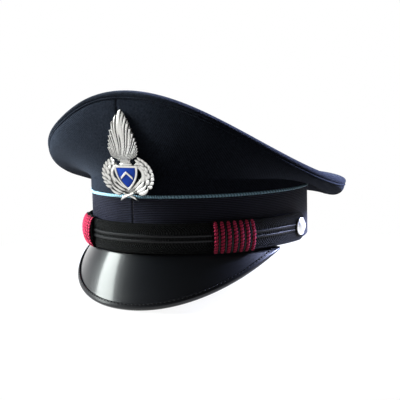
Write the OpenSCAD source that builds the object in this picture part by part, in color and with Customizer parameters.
// Peaked cap with a high front, a chin strap on two side buttons and a metal badge.
// All sizes are in millimetres. +Z is up, the front of the cap faces -Y and +X is the wearer's left.
// The origin is the centre of the head opening, in the plane of the band's lower edge.
// Every layer of the band follows one oval of tangent arcs, at its own distance from the band's face.

/* [Band] */
// Half of the band's outside length, front to back
band_half_len = 105; // [95:0.5:126]
// Half of the band's outside width
band_half_wid = 88; // [80:0.5:106]
// Height of the ribbed cover cloth
cover_h = 41.8; // [34:0.1:51]
// Thickness of the ribbed cover cloth
cover_t = 1; // [0.8:0.1:1.2]
// Thickness of the stiff band core
core_t = 1.6; // [1.2:0.1:2]
// Thickness of the leather sweatband
sweatband_t = 1.2; // [0.9:0.1:1.5]
// Height of the sweatband's top edge
sweatband_top = 38; // [30:0.5:40]
// Diameter of the bead along the sweatband's folded edge
reed_d = 2.4; // [1.8:0.1:3]
// Diameter of the coloured piping above the band
piping_d = 2.6; // [2:0.1:3.2]

/* [Crown] */
// Height of the stiff neck above the piping at the front
neck_front_rise = 12.4; // [9:0.1:15]
// Height of the stiff neck above the piping at the back
neck_rear_rise = 2; // [1.5:0.1:4]
// Height of the rim seam above the piping at the front
rim_front_rise = 74.8; // [62:0.1:90]
// Height of the rim seam above the piping at the sides
rim_side_rise = 0.3; // [-3:0.1:8]
// Height of the rim seam above the piping at the back
rim_rear_rise = -2.2; // [-4:0.1:8]
// How much the rim is pinched up into a peak at the front
rim_peak = 3; // [0:0.1:5]
// How far the rim seam stands out past the band at the sides
side_overhang = 35; // [29:0.5:42]
// How far the rim seam stands out past the band at the front and back
end_overhang = 17; // [14:0.5:21]
// How far the widest part of the crown lies towards the front
rim_forward = 3.5; // [0:0.1:5]
// How square the crown's outline is, from 0, which is an ellipse
rim_square = 4.5; // [0:0.1:6]
// Thickness of the crown cloth with its backing
cloth_t = 1.2; // [1:0.1:1.5]
// Height of the rolled edge above the rim seam at the front
roll_front = 5.5; // [5:0.1:8]
// Height of the rolled edge above the rim seam at the sides
roll_side = 11; // [8:0.1:13]
// Height of the rolled edge above the rim seam at the back
roll_rear = 10; // [8:0.1:13]
// How far the crest of the rolled edge lies in from the rim seam
roll_in = 6; // [5:0.1:8]
// How far the rolled edge swells past the rim seam
roll_out = 2; // [1:0.1:3]
// How far the middle of the top is domed above a taut sheet
dome = 3; // [0:0.1:8]
// Turn of the side seams from the front
side_seam_turn = 128; // [115:1:140]

/* [Inside the crown] */
// Diameter of the felt roll inside the rolled edge
edge_roll_d = 5; // [4:0.1:5.5]
// Diameter of the spring wire hoop
hoop_d = 2.2; // [1.8:0.1:2.6]
// Length of the ferrule that joins the hoop's ends
ferrule_len = 10; // [8:0.5:12]
// Thickness of the front stay
stay_t = 1; // [0.8:0.1:1.2]
// Half of the angle that the front stay spans
stay_half_turn = 18; // [14:0.5:20]
// Thickness of the lining
lining_t = 0.6; // [0.5:0.1:0.8]
// Share of the top that the lining's roof spans
lining_share = 0.88; // [0.82:0.01:0.9]
// Depth of the lining's roof below the top's outer face
lining_drop = 2.5; // [2.3:0.1:3.2]

/* [Visor] */
// How far the visor's edge stands out past the side of the band where it meets it
visor_side_out = 1; // [-1.5:0.5:4]
// How far behind the front of the band the visor's ends lie
visor_end_back = 83; // [75:0.5:90]
// How far the visor's tip stands out past the band
visor_reach = 18.2; // [15:0.1:24]
// Depth of the visor's tip below the band
visor_drop = 39.7; // [33:0.1:48]
// Roundness of the visor's edge, 2 is an ellipse
visor_roundness = 2.12; // [2:0.01:2.3]
// How sharply the visor's edge falls towards its tip
visor_fall = 1.15; // [1.05:0.01:1.3]
// How far the middle of the visor bulges
visor_bulge = 2.5; // [0:0.1:4]
// Thickness of the visor
visor_t = 2.2; // [1.8:0.1:2.6]
// Thickness of the visor's root flange, inside the band
flange_t = 0.8; // [0.6:0.1:1]
// Height of the root flange inside the band
flange_h = 8; // [6:0.5:12]
// Width of the binding on the visor's edge
binding_w = 4.6; // [3.8:0.1:5.5]
// Thickness of the binding
binding_t = 0.7; // [0.5:0.05:0.9]

/* [Chin strap] */
// Width of the woven strap
strap_w = 23; // [19:0.1:26]
// Thickness of the strap
strap_t = 2.4; // [2:0.1:2.8]
// Height of the strap's lower edge
strap_low = 0.4; // [0.3:0.1:2]
// Diameter of the two cords laid along the strap
strap_cord_d = 2.6; // [2:0.1:3]
// Distance between the two cords
strap_cord_pitch = 5; // [4:0.1:6]
// How far each cord stands out of the strap
strap_cord_proud = 0.7; // [0.5:0.05:0.9]
// Length of a slider along the strap
slider_len = 34; // [28:0.5:40]
// Wall of a slider's loop
slider_wall = 0.8; // [0.6:0.05:1]
// Number of coloured cords on each slider
slider_cords = 7; // [5:1:8]
// Width of each coloured cord
slider_cord_w = 3.4; // [2.6:0.1:3.6]
// Turn of the wearer's left slider from the front
left_slider_turn = 53; // [34:1:54]
// Turn of the wearer's right slider from the front
right_slider_turn = 43.2; // [34:0.1:54]

/* [Side buttons] */
// Diameter of a button's face
button_d = 14.4; // [12:0.1:17]
// Height of a button's dome
dome_h = 3.2; // [2.4:0.1:4.5]
// Diameter of a button's shank
shank_d = 3; // [2.5:0.1:4]
// Diameter of the washer that holds the shank
washer_d = 8; // [6.5:0.1:10]

/* [Badge] */
// Lean of the badge, forwards at the top
badge_lean = 12; // [10:0.5:14]
// Radius of the wreath's middle line
wreath_r = 20; // [18:0.1:22]
// Width of the wreath's leaves
wreath_w = 7.2; // [6:0.1:8]
// Half of the angle that the wreath spans
wreath_half_turn = 126; // [110:1:135]
// Height of the plume
plume_h = 37; // [32:0.5:42]
// Half of the plume's greatest width
plume_half_w = 14; // [12:0.1:16]
// Half of the shield's width
shield_half_w = 11.2; // [9:0.1:12]
// Height of the shield
shield_h = 20.5; // [18:0.1:22]
// Width of the shield's bright border
shield_border = 1.5; // [1:0.1:2]
// Thickness of the badge's back plate
plate_t = 0.8; // [0.6:0.1:1]
// Diameter of the badge's two screw posts
post_d = 2.6; // [2:0.1:3]
// Diameter of a badge nut
nut_d = 6.4; // [5.5:0.1:8]

/* [Hidden] */

// Clearances
ply_gap = 0.1;        // between layers that lie on each other
loose_gap = 0.3;      // between soft pieces that only meet
running_gap = 0.05;   // round a shank in its hole
seam_gap_turn = 0.06; // half of the slit at a seam, in degrees at the band
eps = 0.01;
arc_fn = 180;
beyond = 2 * band_half_len; // past anything on the cap, for cuts
core_front_rise = 0.5;      // the core's lower edge is cut back this much over the visor
core_cut_y = visor_end_back - band_half_len + 2; // and ends just behind the visor

// Layers of the band, as distances outwards from the cover's face
core_out = -cover_t - ply_gap;
core_in = core_out - core_t;
flange_out = core_in - 2 * ply_gap;
flange_in = flange_out - flange_t;
sweatband_out = flange_in - 3 * ply_gap;
sweatband_in = sweatband_out - sweatband_t;
crown_out = 0.5;
lining_out = sweatband_in - 2 * loose_gap;

// Heights
piping_z = cover_h + ply_gap + piping_d / 2;
piping_top = piping_z + piping_d / 2;
neck_front_z = piping_z + neck_front_rise + piping_d / 2;
neck_rear_z = piping_z + neck_rear_rise + piping_d / 2;
rim_front_z = piping_z + rim_front_rise;
rim_side_z = piping_z + rim_side_rise;
rim_rear_z = piping_z + rim_rear_rise;

// Chin strap and sliders, as distances outwards from the cover's face
slider_back = 0.8;
strap_in = slider_back + slider_wall + 0.4;
strap_out = strap_in + strap_t;
slider_front_in = strap_out + strap_cord_proud + 0.3;
slider_front = slider_front_in + slider_wall;
slider_clear_z = 0.3;
strap_mid_z = strap_low + strap_w / 2;
slider_low = strap_low - slider_clear_z - slider_wall;
slider_high = strap_low + strap_w + slider_clear_z + slider_wall;
button_z = strap_mid_z;

// The band's oval: an end arc, a shoulder arc and a side arc in each quarter, tangent to each other.
// Turns are measured from the front towards +X and name a normal's direction.
end_turn = 22;
side_turn = 66;
shoulder_r = pow(band_half_len * band_half_wid, 2)
    / pow((pow(band_half_len, 2) + pow(band_half_wid, 2)) / 2, 1.5);
side_slope = (1 - sin(side_turn)) / cos(side_turn);
end_r = (band_half_wid + shoulder_r * (sin(end_turn) - sin(side_turn))
        - side_slope * (band_half_len + shoulder_r * (cos(side_turn) - cos(end_turn))))
    / (sin(end_turn) - side_slope * (1 - cos(end_turn)));
side_r = (band_half_len + shoulder_r * (cos(side_turn) - cos(end_turn))
        - end_r * (1 - cos(end_turn))) / cos(side_turn);
end_y = band_half_len - end_r;
shoulder_x = band_half_wid - side_r + (side_r - shoulder_r) * sin(side_turn);
shoulder_y = (side_r - shoulder_r) * cos(side_turn);
side_x = band_half_wid - side_r;

// Grids of the curved shells
turn_step = 5;
ring_turns = [for (i = [0:360 / turn_step - 1]) i * turn_step - 180];
coarse_turns = [for (i = [0:180 / turn_step - 1]) 2 * i * turn_step - 180];
side_steps = 7;
roll_angles = [8, 25, 48, 70, 90];
top_shares = [0.94, 0.86, 0.76, 0.64, 0.5, 0.36, 0.2];

// ---------------------------------------------------------------- general helpers

function unit(v) = v / norm(v);
function mix(a, b, share) = a + (b - a) * share;
function out_dir(turn) = [sin(turn), -cos(turn), 0];
function power(v, e) = sign(v) * pow(abs(v), e);

// A value that runs smoothly round the cap through its front, side and rear values.
// With share under 1 it is the height of a taut sheet stretched over such a rim.
function around(front, side, rear, turn, share = 1) = let (ends = (front + rear) / 2)
    (ends + side) / 2 + (front - rear) / 2 * share * cos(turn)
    + (ends - side) / 2 * pow(share, 2) * cos(2 * turn);

// The arc that a turn lies on: its centre and radius
function arc_at(turn) = let (
    off_end = abs(turn) > 90 ? 180 - abs(turn) : abs(turn),
    across = sign(sin(turn)),
    ahead = -sign(cos(turn)))
    off_end < end_turn ? [[0, ahead * end_y], end_r]
        : off_end < side_turn ? [[across * shoulder_x, ahead * shoulder_y], shoulder_r]
        : [[across * side_x, 0], side_r];

// A point beside the band's face at a given turn
function band_pt(turn, out, z = 0) = let (arc = arc_at(turn))
    [arc[0].x + (arc[1] + out) * sin(turn), arc[0].y - (arc[1] + out) * cos(turn), z];

// Turns from one end of a stretch to the other, in equal steps
function turns(from, to) = let (steps = ceil((to - from) / turn_step - eps))
    [for (i = [0:steps]) mix(from, to, i / steps)];

// A flat strip bent round the band between two turns, from one distance and height to another
module strip(in, out, low, high, from = seam_gap_turn - 180, to = 180 - seam_gap_turn) {
    stops = turns(from, to);
    outline = concat([for (turn = stops) band_pt(turn, out)],
        [for (i = [len(stops) - 1:-1:0]) band_pt(stops[i], in)]);
    translate([0, 0, low]) linear_extrude(high - low) polygon([for (p = outline) [p.x, p.y]]);
}

// A cord round the band, its section given as points of (distance outwards, height)
module band_cord(section, from = seam_gap_turn - 180, to = 180 - seam_gap_turn) {
    loft([for (turn = turns(from, to)) [for (p = section) band_pt(turn, p.x, p.y)]]);
}

function round_section(centre, r, sides = 8) =
    [for (k = [0:sides - 1]) centre + r * [cos(360 * k / sides), sin(360 * k / sides)]];

// Sweeps a profile, drawn as (distance outwards, height), along the one arc between two turns
module arc_sweep(from, to) {
    arc = arc_at((from + to) / 2);
    translate([arc[0].x, arc[0].y, 0]) rotate(from - 90)
        rotate_extrude(angle = to - from, $fn = arc_fn) translate([arc[1], 0]) children();
}

module box2(low, high) {
    translate(low) square(high - low);
}

// Puts a piece on the band's side, with its local z along +X from the band's face
module at_side(z = button_z) {
    translate([band_half_wid, 0, z]) rotate([0, 90, 0]) children();
}

// The inner face of a shell: each point moved in by a thickness, against the grid's normal.
// Rows run upwards and columns run towards +X at the front, so the normal points outwards.
function inset_grid(grid, t, ring) = let (rows = len(grid), cols = len(grid[0]))
    [for (r = [0:rows - 1]) [for (c = [0:cols - 1]) let (
        right = grid[r][ring ? (c + 1) % cols : min(c + 1, cols - 1)],
        left = grid[r][ring ? (c + cols - 1) % cols : max(c - 1, 0)],
        above = grid[min(r + 1, rows - 1)][c],
        below = grid[max(r - 1, 0)][c],
        depth = is_list(t) ? t[r] : t)
        grid[r][c] - depth * unit(cross(right - left, above - below))]];

// A closed solid between an outer and an inner grid. pole = [outer, inner] closes its last row.
module shell(outer, inner, ring = false, pole = undef) {
    rows = len(outer);
    cols = len(outer[0]);
    spans = ring ? cols : cols - 1;
    count = rows * cols;
    tip = 2 * count;
    function at(r, c, side = 0) = side * count + r * cols + c % cols;
    function quad(a, b, c, d) = [[a, b, c], [a, c, d]];
    points = concat([for (row = outer) each row], [for (row = inner) each row],
        is_undef(pole) ? [] : pole);
    faces = concat(
        [for (r = [0:rows - 2], c = [0:spans - 1])
            each quad(at(r, c), at(r + 1, c), at(r + 1, c + 1), at(r, c + 1))],
        [for (r = [0:rows - 2], c = [0:spans - 1])
            each quad(at(r, c, 1), at(r, c + 1, 1), at(r + 1, c + 1, 1), at(r + 1, c, 1))],
        [for (c = [0:spans - 1]) each quad(at(0, c), at(0, c + 1), at(0, c + 1, 1), at(0, c, 1))],
        is_undef(pole)
            ? [for (c = [0:spans - 1]) each quad(at(rows - 1, c, 1), at(rows - 1, c + 1, 1),
                at(rows - 1, c + 1), at(rows - 1, c))]
            : [for (c = [0:spans - 1]) each [
                [at(rows - 1, c), tip, at(rows - 1, c + 1)],
                [at(rows - 1, c, 1), at(rows - 1, c + 1, 1), tip + 1]]],
        ring ? [] : [for (r = [0:rows - 2]) each concat(
            quad(at(r, 0), at(r, 0, 1), at(r + 1, 0, 1), at(r + 1, 0)),
            quad(at(r, cols - 1), at(r + 1, cols - 1), at(r + 1, cols - 1, 1),
                at(r, cols - 1, 1)))]);
    polyhedron(points = points, faces = faces);
}

// A sheet of thickness t whose outer face is the grid
module sheet(grid, t, ring = false, pole = undef) {
    shell(grid, inset_grid(grid, t, ring), ring,
        is_undef(pole) ? undef : [pole, pole - [0, 0, t]]);
}

// A solid through equal outlines, closed into a ring or capped at both ends
module loft(outlines, ring = false) {
    count = len(outlines);
    sides = len(outlines[0]);
    function at(i, k) = (i % count) * sides + k % sides;
    faces = concat(
        [for (i = [0:count - (ring ? 1 : 2)], k = [0:sides - 1]) each [
            [at(i, k), at(i, k + 1), at(i + 1, k + 1)], [at(i, k), at(i + 1, k + 1), at(i + 1, k)]]],
        ring ? [] : [[for (k = [sides - 1:-1:0]) at(0, k)],
            [for (k = [0:sides - 1]) at(count - 1, k)]]);
    polyhedron(points = [for (outline = outlines) each outline], faces = faces);
}

// A round tube through a closed list of points
module ring_tube(points, r, sides) {
    count = len(points);
    loft([for (i = [0:count - 1]) let (
        along = unit(points[(i + 1) % count] - points[(i + count - 1) % count]),
        out = unit(cross(along, [0, 0, 1])),
        up = cross(out, along))
        [for (k = [0:sides - 1]) let (a = 360 * k / sides)
            points[i] + r * (cos(a) * out + sin(a) * up)]], ring = true);
}

// ---------------------------------------------------------------- the crown's shape

rim_half_wid = band_half_wid + side_overhang;
rim_half_len = band_half_len + end_overhang;

// Height of the stiff neck, where the crown starts to flare, at a place along the cap
function neck_z(y) = mix(neck_front_z, neck_rear_z, (y + band_half_len) / (2 * band_half_len));

function rim_pt(turn) = [
    rim_half_wid * sin(turn) + rim_forward * sin(2 * turn),
    -rim_half_len * cos(turn) + rim_square * (cos(3 * turn) - cos(turn)),
    around(rim_front_z, rim_side_z, rim_rear_z, turn) + rim_peak * (cos(3 * turn) - cos(turn))];

// The crown's side: share -1 to 0 is the upright neck, and 0 to 1 a curve from there to the rim
side_lift_front = 20;
side_lift_side = -3;
side_lift_rear = -8.5;
side_hang_front = 20;
side_hang_side = 0;
side_hang_rear = 30;
side_swell_front = 0.3;
side_swell_side = 2.5;
side_swell_rear = 2.5;
function side_pt(turn, share) = let (
    foot = band_pt(turn, crown_out, piping_top + ply_gap),
    neck = [foot.x, foot.y, neck_z(foot.y)],
    rim = rim_pt(turn),
    lift = around(side_lift_front, side_lift_side, side_lift_rear, turn),
    hang = around(side_hang_front, side_hang_side, side_hang_rear, turn),
    swell = around(side_swell_front, side_swell_side, side_swell_rear, turn),
    low = [mix(neck.x, rim.x, 1 / 3), mix(neck.y, rim.y, 1 / 3), neck.z + lift],
    high = rim + swell * out_dir(turn) - [0, 0, hang],
    rest = 1 - share)
    share < 0 ? mix(neck, foot, -share)
        : pow(rest, 3) * neck + 3 * rest * rest * share * low
            + 3 * rest * share * share * high + pow(share, 3) * rim;

// The rolled edge above the rim seam, from 0 degrees at the seam to 90 at its crest
function roll_h(turn) = around(roll_front, roll_side, roll_rear, turn);
function roll_pt(turn, angle) = rim_pt(turn)
    + out_dir(turn) * (roll_out * sin(2 * angle) - roll_in * (1 - cos(angle)))
    + [0, 0, roll_h(turn) * sin(angle)];

// The top inside the roll's crest: a taut sheet with a slight dome, share 1 at the crest
function top_pt(turn, share) = let (crest = roll_pt(turn, 90)) [crest.x * share, crest.y * share,
    around(rim_front_z + roll_front, rim_side_z + roll_side, rim_rear_z + roll_rear, turn, share)
    + rim_peak * (pow(share, 3) * cos(3 * turn) - share * cos(turn))
    + dome * (1 - share * share)];

// One panel of the crown's side, between two seams
module crown_panel(from, to) {
    steps = round((to - from) / turn_step);
    sheet([for (r = [-1:side_steps]) [for (c = [0:steps])
        side_pt(mix(from + seam_gap_turn, to - seam_gap_turn, c / steps), r < 0 ? -1 : r / side_steps)]],
        cloth_t);
}

// ---------------------------------------------------------------- band

module band_core() {
    tilt = atan2(neck_front_z - neck_rear_z, 2 * band_half_len);
    color("dimgray") difference() {
        strip(core_in, core_out, 0, neck_front_z + 1);
        translate([0, 0, (neck_front_z + neck_rear_z) / 2 - loose_gap]) rotate([-tilt, 0, 0])
            translate([-beyond, -beyond, 0]) cube(2 * beyond);
        translate([-beyond, core_cut_y - beyond, core_front_rise - beyond])
            cube([2 * beyond, beyond, beyond]);
        for (side = [0, 1]) mirror([side, 0, 0]) at_side() shank_hole();
        badge_place() lower_post(post_d / 2 + running_gap);
    }
}

// The cover's seam is at the front, and the other layers meet at the back
module band_cover() {
    color("#1c1c33") difference() {
        rotate(180) strip(-cover_t, 0, 0, cover_h);
        for (side = [0, 1]) mirror([side, 0, 0]) at_side() shank_hole();
    }
}

module band_piping() {
    color("#9fd3e6") band_cord(round_section([piping_d / 2 - cover_t, piping_z], piping_d / 2));
}

module sweatband() {
    color("#3a2a20") strip(sweatband_in, sweatband_out, reed_d + ply_gap, sweatband_top);
}

module sweatband_reed() {
    color("#2a1e18") band_cord(round_section([sweatband_out - reed_d / 2, reed_d / 2], reed_d / 2));
}

// ---------------------------------------------------------------- crown

module crown_front_left() {
    color("#1b1f2b") difference() {
        crown_panel(0, side_seam_turn);
        badge_place() posts(post_d / 2 + running_gap);
    }
}

module crown_front_right() {
    color("#1b1f2b") difference() {
        crown_panel(-side_seam_turn, 0);
        badge_place() posts(post_d / 2 + running_gap);
    }
}

module crown_rear_left() {
    color("#191c28") crown_panel(side_seam_turn, 180);
}

module crown_rear_right() {
    color("#191c28") crown_panel(-180, -side_seam_turn);
}

module crown_top() {
    rows = concat([for (a = roll_angles) [for (turn = ring_turns) roll_pt(turn, a)]],
        [for (s = top_shares) [for (turn = ring_turns) top_pt(turn, s)]]);
    color("#1d2230") sheet(rows, cloth_t, ring = true, pole = top_pt(0, 0));
}

// Path of the felt roll and, further in, of the wire hoop, both under the crest of the rolled edge
// The top slopes, so both lie deeper than they would under a level sheet.
slope_room = 1.25;
roll_drop = slope_room * (cloth_t + edge_roll_d / 2);
ferrule_bore_r = hoop_d / 2 + 0.25;
ferrule_r = ferrule_bore_r + 0.5;
hoop_inset = edge_roll_d / 2 + ferrule_r + ply_gap;
hoop_drop = slope_room * (cloth_t + hoop_d / 2) + loose_gap;
edge_path = [for (turn = ring_turns) roll_pt(turn, 90) - [0, 0, roll_drop]];
hoop_path = [for (turn = ring_turns) let (crest = roll_pt(turn, 90))
    top_pt(turn, 1 - hoop_inset / norm([crest.x, crest.y])) - [0, 0, hoop_drop]];

module edge_roll() {
    color("#6b6258") ring_tube(edge_path, edge_roll_d / 2, 8);
}

module hoop_wire() {
    color("silver") ring_tube(hoop_path, hoop_d / 2, 6);
}

// The ferrule covers the hoop's joint at the back, where the hoop runs along X
module hoop_ferrule() {
    joint = hoop_path[0];
    color("goldenrod") translate(joint + [-ferrule_len / 2, 0, 0]) rotate([0, 90, 0]) difference() {
        cylinder(r = ferrule_r, h = ferrule_len, $fn = 32);
        translate([0, 0, -1]) cylinder(r = ferrule_bore_r, h = ferrule_len + 2, $fn = 32);
    }
}

// A curved stiffener from inside the band core up towards the hoop, with a window round the lower nut.
// The rim falls away from its middle, so the stay's top edge ends some way below the edge roll.
stay_side_drop = 5;

module front_stay() {
    top = edge_path[180 / turn_step];
    low_out = core_in - ply_gap;
    low_z = sweatband_top + 2;
    bend_z = neck_front_z + 1;
    top_out = -top.y - band_half_len - edge_roll_d / 2 - hoop_d - 3 * loose_gap;
    top_z = top.z - edge_roll_d / 2 - stay_side_drop;
    color("#8a8f98") difference() {
        arc_sweep(-stay_half_turn, stay_half_turn) polygon([[low_out - stay_t, low_z],
            [low_out, low_z], [low_out, bend_z], [top_out, top_z], [top_out - stay_t, top_z],
            [low_out - stay_t, bend_z + stay_t / 2]]);
        badge_place() lower_post(nut_d / 2 + 2 * loose_gap, 2 * post_len);
    }
}

// Rise of the lining's side above the crown's neck, where it turns out towards its roof
lining_neck_rise = 2.6;
// Rows of the lining's roof, as shares of the top; the last rows carry the film
tip_shares = [lining_share, 0.73, 0.56, 0.45, 0.3, 0.15];
film_t = 0.3;

module lining_side() {
    low = [for (turn = coarse_turns) band_pt(turn, lining_out, sweatband_top + loose_gap)];
    neck = [for (p = low) [p.x, p.y, neck_z(p.y) + lining_neck_rise]];
    roof = [for (turn = coarse_turns)
        top_pt(turn, lining_share) - [0, 0, lining_drop + 2 * slope_room * lining_t + ply_gap]];
    color("#22242c") sheet([low, neck, roof], lining_t, ring = true);
}

module lining_tip() {
    color("#2c2e38") sheet([for (s = tip_shares) [for (turn = coarse_turns)
        top_pt(turn, s) - [0, 0, lining_drop]]], lining_t, ring = true,
        pole = top_pt(0, 0) - [0, 0, lining_drop]);
}

// Clear film under the middle of the lining's roof
module sweat_shield() {
    drop = lining_drop + slope_room * lining_t + ply_gap;
    color("#dfe8ee", 0.5) sheet([for (i = [3:5]) [for (turn = coarse_turns)
        top_pt(turn, tip_shares[i]) - [0, 0, drop]]], film_t, ring = true,
        pole = top_pt(0, 0) - [0, 0, drop]);
}

// ---------------------------------------------------------------- visor

visor_root_turn = acos((band_half_len - visor_end_back) / side_r);
visor_last_turn = 87;
visor_steps = 18;
// Closer together towards the visor's ends, where it twists
visor_turns = [for (i = [-visor_steps:visor_steps]) visor_last_turn * sin(90 * i / visor_steps)];
visor_half_wid = band_half_wid + visor_side_out;
visor_tip_y = band_half_len + visor_reach;
visor_end_z = 0.2;
visor_edge_drop = visor_drop + visor_end_z;
root_out = 0.7;
root_z = slider_low - loose_gap;
visor_shares = [0, 0.2, 0.4, 0.6, 0.8, 1];

// The visor's outer edge and the line where its face leaves the band
function visor_edge(turn, inset = 0) = [
    (visor_half_wid - inset) * power(sin(turn), 2 / visor_roundness),
    -(band_half_len - visor_end_back)
        - (visor_tip_y - band_half_len + visor_end_back - inset) * pow(cos(turn), 2 / visor_roundness),
    visor_end_z - visor_edge_drop * pow(cos(turn), visor_fall)];
function visor_root(turn) = band_pt(turn * visor_root_turn / 90, root_out, root_z);
function visor_pt(turn, share) = let (
    root = visor_root(turn),
    edge = visor_edge(turn, binding_t + loose_gap),
    out = unit(cross(visor_edge(turn + 1) - visor_edge(turn - 1), root - edge)))
    mix(edge, root, share) + out * visor_bulge * 4 * share * (1 - share) * cos(turn);

// Rows of the visor's outer face, from its edge up to the top of the flange inside the band
visor_face = [for (s = visor_shares) [for (turn = visor_turns) visor_pt(turn, s)]];
visor_rows = concat(visor_face, [
    [for (turn = visor_turns) band_pt(turn * visor_root_turn / 90, flange_out, -loose_gap)],
    [for (turn = visor_turns) band_pt(turn * visor_root_turn / 90, flange_out, flange_h)]]);

module visor() {
    under = inset_grid(visor_face, visor_t, false);
    flange = [for (z = [-visor_t, flange_h]) [for (turn = visor_turns)
        band_pt(turn * visor_root_turn / 90, flange_in, z)]];
    color("#0b0c0e") shell(visor_rows, concat(under, flange));
}

// Depths below the visor's face of the lining's two sides
lining_top = visor_t + ply_gap;
lining_base = lining_top + lining_t;

module visor_lining() {
    top = inset_grid(visor_face, lining_top, false);
    base = inset_grid(visor_face, lining_base, false);
    color("#191a1c") shell([for (r = [0:4]) top[r]], [for (r = [0:4]) base[r]]);
}

// A folded strip that wraps the visor's edge. Its section is drawn as (distance in from the edge,
// height above the face) and follows the face's own normals.
module visor_binding() {
    gap = 1.2 * loose_gap;
    top = gap + binding_t;
    low = -lining_base - top;
    nose = -gap - binding_t;
    bevel = 1;
    profile = [[binding_w, top], [0.6, top], [nose, top - bevel], [nose, low + bevel], [0.6, low],
        [binding_w, low], [binding_w, low + binding_t], [-gap, low + binding_t],
        [-gap, top - binding_t], [binding_w, top - binding_t]];
    skin = inset_grid(visor_face, -1, false);
    color("#101113") loft([for (i = [0:len(visor_turns) - 1]) let (
        edge = visor_face[0][i],
        next = visor_face[1][i],
        width = norm(next - edge))
        [for (p = profile) let (share = min(p.x, 0.8 * width) / width)
            mix(edge, next, share) + p.y * mix(skin[0][i] - edge, skin[1][i] - next, max(share, 0))]]);
}

// ---------------------------------------------------------------- chin strap

module shank_hole() {
    translate([0, 0, -10]) cylinder(d = shank_d + 2 * running_gap, h = 30, $fn = 32);
}

// The lace runs from button to button and ends in a half round past each
module chin_strap() {
    end_turn_past = 90 + asin((strap_w / 2 + 1) / side_r);
    color("#15171a") difference() {
        intersection() {
            strip(strap_in, strap_out, strap_low, strap_low + strap_w, -end_turn_past, end_turn_past);
            union() {
                translate([-beyond, -beyond, -1]) cube([2 * beyond, beyond, 2 * strap_w]);
                translate([-beyond, 0, button_z]) rotate([0, 90, 0])
                    cylinder(d = strap_w + 2 * eps, h = 2 * beyond, $fn = 64);
            }
        }
        for (side = [0, 1]) mirror([side, 0, 0]) at_side() shank_hole();
    }
}

// Two cords laid along the strap's face, stopping short of the buttons
module strap_cords() {
    stop_turn = 90 - asin((button_d / 2 + 1) / side_r);
    half = strap_cord_d / 2;
    cord_seat = 1.5 * ply_gap;
    for (z = [-0.5, 0.5] * strap_cord_pitch) color("#202327") band_cord(
        [for (a = [-90:36:90]) [strap_out + cord_seat + (strap_cord_proud - cord_seat) * cos(a),
            strap_mid_z + z + half * sin(a)]], -stop_turn, stop_turn);
}

slider_arc_r = shoulder_r + strap_out;
slider_half_turn = slider_len / 2 / slider_arc_r * 180 / PI;
slider_cord_pitch = (slider_len - slider_cord_w) / (slider_cords - 1);

// A flat loop round the strap
module slider_loop(turn) {
    arc_sweep(turn - slider_half_turn, turn + slider_half_turn) difference() {
        box2([slider_back, slider_low], [slider_front, slider_high]);
        box2([slider_back + slider_wall, slider_low + slider_wall],
            [slider_front_in, slider_high - slider_wall]);
    }
}

// Upright cords round the front of a loop
module slider_bars(turn) {
    for (i = [0:slider_cords - 1]) {
        bar = turn + (i - (slider_cords - 1) / 2) * slider_cord_pitch / slider_arc_r * 180 / PI;
        half = slider_cord_w / 2 / slider_arc_r * 180 / PI;
        arc_sweep(bar - half, bar + half)
            box2([slider_front + eps, slider_low], [slider_front + slider_cord_w / 2, slider_high]);
    }
}

module slider_left_loop() {
    color("#111214") slider_loop(left_slider_turn);
}

module slider_left_cords() {
    color("#a82a45") slider_bars(left_slider_turn);
}

module slider_right_loop() {
    color("#111214") slider_loop(-right_slider_turn);
}

module slider_right_cords() {
    color("#a82a45") slider_bars(-right_slider_turn);
}

// ---------------------------------------------------------------- side buttons

shank_end = sweatband_out + loose_gap / 2;
washer_t = core_in - shank_end - running_gap - loose_gap;

module side_button() {
    base = strap_out + loose_gap;
    skirt = 0.9;
    cap_r = button_d / 2 - skirt;
    ball_r = (cap_r * cap_r + dome_h * dome_h) / (2 * dome_h);
    translate([0, 0, shank_end]) cylinder(d = shank_d, h = base - shank_end + eps, $fn = 32);
    translate([0, 0, base]) cylinder(d = button_d, h = skirt, $fn = 64);
    translate([0, 0, base + skirt]) rotate_extrude($fn = 64)
        translate([button_d / 2 - skirt / 2, 0]) circle(d = skirt, $fn = 24);
    intersection() {
        translate([0, 0, base + skirt + dome_h - ball_r]) sphere(r = ball_r, $fn = 96);
        translate([0, 0, base + skirt / 2]) cylinder(r = cap_r, h = 2 * dome_h, $fn = 64);
    }
}

module washer() {
    translate([0, 0, shank_end + running_gap]) difference() {
        cylinder(d = washer_d, h = washer_t, $fn = 48);
        translate([0, 0, -1]) cylinder(d = shank_d + 2 * running_gap, h = washer_t + 2, $fn = 32);
    }
}

module side_button_left() {
    color("gainsboro") at_side() side_button();
}

module side_button_right() {
    color("gainsboro") mirror([1, 0, 0]) at_side() side_button();
}

module button_washer_left() {
    color("silver") at_side() washer();
}

module button_washer_right() {
    color("silver") mirror([1, 0, 0]) at_side() washer();
}

// ---------------------------------------------------------------- badge

// The badge is drawn flat: x across, y up from the piping, z out of the cap from the plate's back
badge_out = piping_d - cover_t + 2 * loose_gap;
wreath_y = wreath_r + wreath_w / 2 - 1.5;
shield_top_y = wreath_y + 4;
collar_y = shield_top_y + 2.5;
plume_y = collar_y + 2.5;
lower_post_y = 8;
upper_post_y = 40;
post_len = 8.8;
nut_t = 1;
lower_nut_depth = 8.4;
upper_nut_depth = 5;

module badge_place() {
    translate([0, -band_half_len - badge_out, piping_z]) rotate([90 + badge_lean, 0, 0]) children();
}

module lower_post(r, length = post_len) {
    translate([0, lower_post_y, -length]) cylinder(r = r, h = length, $fn = 24);
}

module posts(r, length = post_len) {
    for (y = [lower_post_y, upper_post_y])
        translate([0, y, -length]) cylinder(r = r, h = length, $fn = 24);
}

// A narrow plate under the wreath and the shield, with an upright bar that carries the posts
plate_band = 1.6;
plate_bar = 6;

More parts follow.
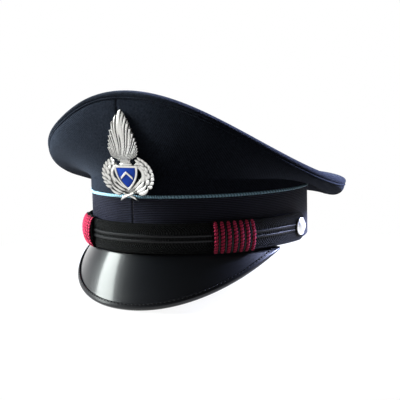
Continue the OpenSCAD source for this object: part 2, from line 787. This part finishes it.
module badge_plate() {
    color("silver") badge_place() {
        linear_extrude(plate_t) union() {
            translate([0, wreath_y]) difference() {
                circle(r = wreath_r + plate_band, $fn = 64);
                circle(r = wreath_r - plate_band, $fn = 64);
                translate([-wreath_r, wreath_r * cos(180 - wreath_half_turn)]) square(2 * wreath_r);
            }
            translate([0, shield_top_y]) polygon(shield_outline(shield_border / 2));
            translate([-plate_bar / 2, 0]) square([plate_bar, plume_y + plume_h / 2]);
        }
        translate([0, 0, eps]) posts(post_d / 2);
    }
}

// Two leafy branches that meet at crossed stems below
module badge_wreath() {
    leaves = 9;
    leaf_turn = wreath_half_turn / leaves;
    color("gainsboro") badge_place() translate([0, wreath_y, plate_t]) {
        rotate(-90 - wreath_half_turn) rotate_extrude(angle = 2 * wreath_half_turn, $fn = 96)
            translate([wreath_r - 1.2, 0]) square([2.4, 1.2]);
        for (side = [-1, 1], i = [1:leaves], edge = [-1, 1])
            rotate(-90 + side * (i - 0.4) * leaf_turn) translate([wreath_r, 0, 0])
                rotate(side * 90 - edge * side * 32) translate([0.3, 0, 0]) leaf();
        for (side = [-1, 1]) translate([side * 2.6, -wreath_r - 0.6, 0]) rotate(side * 28)
            translate([-0.9, -3.4, 0]) cube([1.8, 5, 1.6]);
    }
}

module leaf() {
    linear_extrude(1.8) polygon([[0, 0], [1.8, 1.3], [3.9, 1.1], [6.2, 0], [3.9, -1.1], [1.8, -1.3]]);
}

// The plume's outline swells above its foot and draws in to a point that leans to one side
module badge_plume() {
    steps = 14;
    foot_half_w = 4.2;
    function half_w(s) = foot_half_w * (1 - s) + (plume_half_w - 2) * pow(sin(180 * pow(s, 0.72)), 1.2);
    function lean_x(s) = 2.2 * sin(360 * s) - 1.5 * s * s;
    color("gainsboro") badge_place() translate([0, plume_y, plate_t]) {
        linear_extrude(2) polygon(concat(
            [for (i = [0:steps]) [lean_x(i / steps) + half_w(i / steps), plume_h * i / steps]],
            [for (i = [steps - 1:-1:0]) [lean_x(i / steps) - half_w(i / steps), plume_h * i / steps]]));
        translate([0, plume_h * 0.3, 0]) linear_extrude(3.2) polygon(
            [for (a = [0:20:340]) [7 * cos(a), 8.5 * sin(a)]]);
    }
}

module badge_collar() {
    color("gainsboro") badge_place() translate([-5.4, collar_y, plate_t + 1.5]) rotate([0, 90, 0])
        cylinder(d = 3, h = 10.8, $fn = 32);
}

// A flat-topped shield with two curved sides that meet in a point
function shield_outline(inset) = let (
    w = shield_half_w - inset, top = -inset, tip = shield_h - 1.6 * inset, steps = 7)
    concat([[-w, top], [w, top]],
        [for (i = [1:steps]) let (s = i / steps) [w * cos(90 * s), -5 - (tip - 5) * sin(90 * s)]],
        [for (i = [steps - 1:-1:1]) let (s = i / steps) [-w * cos(90 * s), -5 - (tip - 5) * sin(90 * s)]]);

// The shield's rim stands above the floor that holds the enamel
shield_t = 3;
enamel_floor = 1.8;
enamel_t = 0.9;

module badge_shield() {
    color("gainsboro") badge_place() translate([0, shield_top_y, plate_t]) difference() {
        linear_extrude(shield_t) polygon(shield_outline(0));
        translate([0, 0, enamel_floor]) linear_extrude(shield_t) polygon(shield_outline(shield_border));
    }
}

module badge_enamel() {
    color("#15298c") badge_place() translate([0, shield_top_y, plate_t + enamel_floor])
        linear_extrude(enamel_t)
        polygon(shield_outline(shield_border + ply_gap));
}

// A plain chevron on the enamel
module badge_chevron() {
    rise = 5;
    half = shield_half_w - shield_border - 2.5;
    bar = 2.4;
    foot_y = shield_top_y - 12;
    color("gainsboro") badge_place() translate([0, foot_y, plate_t + enamel_floor + enamel_t])
        linear_extrude(0.6)
        polygon([[-half, 0], [0, rise], [half, 0], [half, bar], [0, rise + bar], [-half, bar]]);
}

// Round nuts on the two posts, behind the band core and behind the crown's cloth
module badge_nuts() {
    color("silver") badge_place() {
        translate([0, lower_post_y, -lower_nut_depth]) nut();
        translate([0, upper_post_y, -upper_nut_depth]) nut();
    }
}

module nut() {
    difference() {
        cylinder(d = nut_d, h = nut_t, $fn = 48);
        translate([0, 0, -1]) cylinder(d = post_d + 2 * running_gap, h = nut_t + 2, $fn = 24);
    }
}

// ---------------------------------------------------------------- nodes

band_core();
band_cover();
band_piping();
sweatband();
sweatband_reed();
crown_front_left();
crown_front_right();
crown_rear_left();
crown_rear_right();
crown_top();
edge_roll();
hoop_wire();
hoop_ferrule();
front_stay();
lining_side();
lining_tip();
sweat_shield();
visor();
visor_lining();
visor_binding();
chin_strap();
strap_cords();
slider_left_loop();
slider_left_cords();
slider_right_loop();
slider_right_cords();
side_button_left();
side_button_right();
button_washer_left();
button_washer_right();
badge_plate();
badge_wreath();
badge_plume();
badge_collar();
badge_shield();
badge_enamel();
badge_chevron();
badge_nuts();
